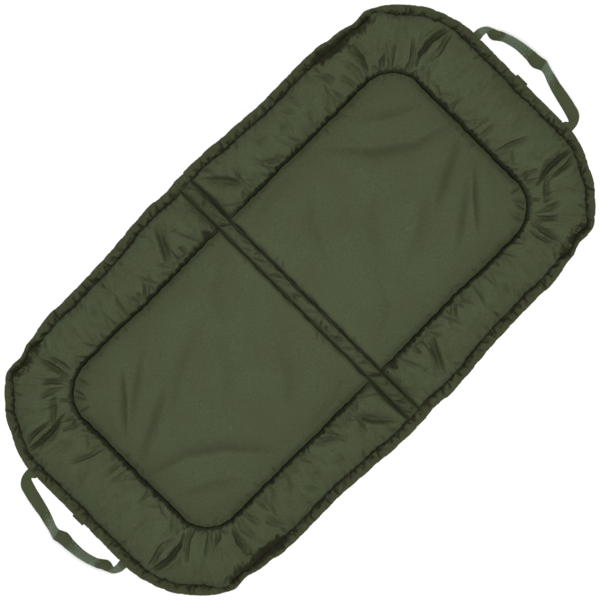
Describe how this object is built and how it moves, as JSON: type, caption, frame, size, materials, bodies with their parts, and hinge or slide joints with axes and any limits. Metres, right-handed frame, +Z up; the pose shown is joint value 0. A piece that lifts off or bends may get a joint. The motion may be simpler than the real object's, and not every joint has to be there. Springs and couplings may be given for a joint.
{
  "type": "unhooking mat",
  "caption": "Folding padded fishing mat with a raised bolster round the edge, a sewn fold across the middle and a webbing handle at each end.",
  "frame": {"origin": "centre of the underside, where the open mat rests on the ground", "axes": "+X along the mat to its right end, +Y across it, +Z up"},
  "size_m": [1.2192, 0.612, 0.05],
  "materials": {
    "coated_nylon": "coated olive cloth, soft sheen",
    "ground_sheet_nylon": "coated olive cloth, matt",
    "binding_tape": "woven olive tape, matt",
    "webbing": "ribbed olive webbing, matt",
    "foam": "open-cell grey foam, matt"
  },
  "bodies": {
    "fold_strip": {"lower_fold_strip": "ground_sheet_nylon", "upper_fold_strip": "coated_nylon", "front_strip_binding": "binding_tape", "back_strip_binding": "binding_tape"},
    "left_half": {"left_ground_sheet": "ground_sheet_nylon", "left_base_foam": "foam", "left_bed_panel": "coated_nylon", "left_bolster_cover": "coated_nylon", "left_end_bolster_foam": "foam", "left_front_bolster_foam": "foam", "left_back_bolster_foam": "foam", "left_edge_binding": "binding_tape", "left_edge_tab": "binding_tape"},
    "right_half": {"right_ground_sheet": "ground_sheet_nylon", "right_base_foam": "foam", "right_bed_panel": "coated_nylon", "right_bolster_cover": "coated_nylon", "right_end_bolster_foam": "foam", "right_front_bolster_foam": "foam", "right_back_bolster_foam": "foam", "right_edge_binding": "binding_tape", "right_edge_tab": "binding_tape"},
    "left_handle_loop": {"left_handle": "webbing"},
    "right_handle_loop": {"right_handle": "webbing"}
  },
  "joints": [
    {"name": "left_fold", "type": "hinge", "parent": "fold_strip", "child": "left_half", "pos_m": [-0.0125, 0, 0.0017], "axis": [0, 1, 0], "range_deg": [-90, 60]},
    {"name": "right_fold", "type": "hinge", "parent": "fold_strip", "child": "right_half", "pos_m": [0.0125, 0, 0.0017], "axis": [0, -1, 0], "range_deg": [-90, 60]},
    {"name": "left_handle_swing", "type": "hinge", "parent": "left_half", "child": "left_handle_loop", "pos_m": [-0.5545, 0, 0.002], "axis": [0, 1, 0], "range_deg": [-8, 100]},
    {"name": "right_handle_swing", "type": "hinge", "parent": "right_half", "child": "right_handle_loop", "pos_m": [0.5545, 0, 0.002], "axis": [0, -1, 0], "range_deg": [-8, 100]}
  ]
}
